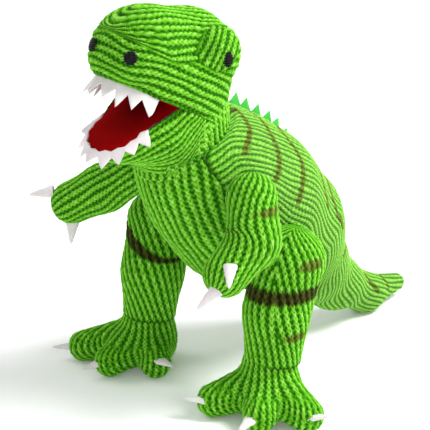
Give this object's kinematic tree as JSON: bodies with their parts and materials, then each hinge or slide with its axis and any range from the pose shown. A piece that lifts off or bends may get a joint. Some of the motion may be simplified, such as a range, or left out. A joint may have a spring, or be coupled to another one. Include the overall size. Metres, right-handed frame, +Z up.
{
  "type": "stuffed dinosaur",
  "caption": "Ribbed-knit stuffed tyrannosaur standing on two feet and its tail, with an open felt-lined mouth, felt teeth, claws and back spikes.",
  "frame": {"origin": "on the floor, under the middle of the bounding box of the standing toy", "axes": "+Z up, the toy faces -Y and its left side is +X"},
  "size_m": [0.24, 0.3586, 0.2922],
  "materials": {
    "green_knit": "ribbed wool-like knit",
    "green_felt": "felt",
    "white_felt": "felt",
    "red_felt": "felt",
    "black_yarn": "stitched yarn",
    "seam_yarn": "sewing yarn",
    "fibrefill": "loose polyester fibre"
  },
  "bodies": {
    "torso": {"belly_panel": "green_knit", "side_panel_left": "green_knit", "side_panel_right": "green_knit", "torso_stuffing": "fibrefill", "back_spikes": "green_felt"},
    "tail": {"tail_knit": "green_knit", "tail_stuffing": "fibrefill"},
    "neck": {"neck_stuffing": "fibrefill", "neck_seam": "seam_yarn"},
    "head": {"head_top_panel": "green_knit", "brow_left": "green_knit", "cheek_panel_left": "green_knit", "brow_right": "green_knit", "cheek_panel_right": "green_knit", "head_stuffing": "fibrefill", "mouth_roof_lining": "red_felt", "upper_teeth": "white_felt", "eye_left": "black_yarn", "eye_right": "black_yarn", "nostril_left": "black_yarn", "nostril_right": "black_yarn"},
    "jaw": {"jaw_knit": "green_knit", "jaw_stuffing": "fibrefill", "mouth_floor_lining": "red_felt", "lower_teeth": "white_felt"},
    "left_arm": {"left_arm_knit": "green_knit", "left_arm_stuffing": "fibrefill", "left_arm_claw_1": "white_felt", "left_arm_claw_2": "white_felt"},
    "right_arm": {"right_arm_knit": "green_knit", "right_arm_stuffing": "fibrefill", "right_arm_claw_1": "white_felt", "right_arm_claw_2": "white_felt"},
    "left_leg": {"left_leg_knit": "green_knit", "left_leg_stuffing": "fibrefill"},
    "right_leg": {"right_leg_knit": "green_knit", "right_leg_stuffing": "fibrefill"},
    "left_foot": {"left_foot_knit": "green_knit", "left_foot_stuffing": "fibrefill", "left_foot_claw_1": "white_felt", "left_foot_claw_2": "white_felt", "left_foot_claw_3": "white_felt"},
    "right_foot": {"right_foot_knit": "green_knit", "right_foot_stuffing": "fibrefill", "right_foot_claw_1": "white_felt", "right_foot_claw_2": "white_felt", "right_foot_claw_3": "white_felt"}
  },
  "joints": [
    {"name": "neck_turn", "type": "hinge", "parent": "torso", "child": "neck", "pos_m": [0.002, -0.10165, 0.198], "axis": [0, -0.4067, 0.9135], "range_deg": [-12, 12], "stiffness_Nm_per_rad": 1.5},
    {"name": "head_nod", "type": "hinge", "parent": "neck", "child": "head", "pos_m": [0.002, -0.06695, 0.2135], "axis": [-1, 0, 0], "range_deg": [0, 10], "stiffness_Nm_per_rad": 1.5},
    {"name": "jaw_close", "type": "hinge", "parent": "head", "child": "jaw", "pos_m": [0.00045, -0.12755, 0.22904], "axis": [-0.9903, 0.1271, 0.0566], "range_deg": [0, 14], "stiffness_Nm_per_rad": 0.4},
    {"name": "left_shoulder", "type": "hinge", "parent": "torso", "child": "left_arm", "pos_m": [0.054, -0.09265, 0.168], "axis": [1, 0, 0], "range_deg": [-45, 8], "stiffness_Nm_per_rad": 0.3},
    {"name": "right_shoulder", "type": "hinge", "parent": "torso", "child": "right_arm", "pos_m": [-0.05, -0.09265, 0.168], "axis": [1, 0, 0], "range_deg": [-30, 30], "stiffness_Nm_per_rad": 0.3},
    {"name": "left_hip", "type": "hinge", "parent": "torso", "child": "left_leg", "pos_m": [0.06, -0.05765, 0.114], "axis": [1, 0, 0], "range_deg": [-12, 12], "stiffness_Nm_per_rad": 2},
    {"name": "right_hip", "type": "hinge", "parent": "torso", "child": "right_leg", "pos_m": [-0.056, -0.05765, 0.114], "axis": [1, 0, 0], "range_deg": [-12, 12], "stiffness_Nm_per_rad": 2},
    {"name": "left_ankle", "type": "hinge", "parent": "left_leg", "child": "left_foot", "pos_m": [0.064, -0.07565, 0.024], "axis": [1, 0, 0], "range_deg": [-10, 10], "stiffness_Nm_per_rad": 1.5},
    {"name": "right_ankle", "type": "hinge", "parent": "right_leg", "child": "right_foot", "pos_m": [-0.06, -0.07565, 0.024], "axis": [1, 0, 0], "range_deg": [-10, 10], "stiffness_Nm_per_rad": 1.5},
    {"name": "tail_swing", "type": "hinge", "parent": "torso", "child": "tail", "pos_m": [0.002, 0.02635, 0.078], "axis": [0, 0, 1], "range_deg": [-15, 15], "stiffness_Nm_per_rad": 0.6}
  ]
}
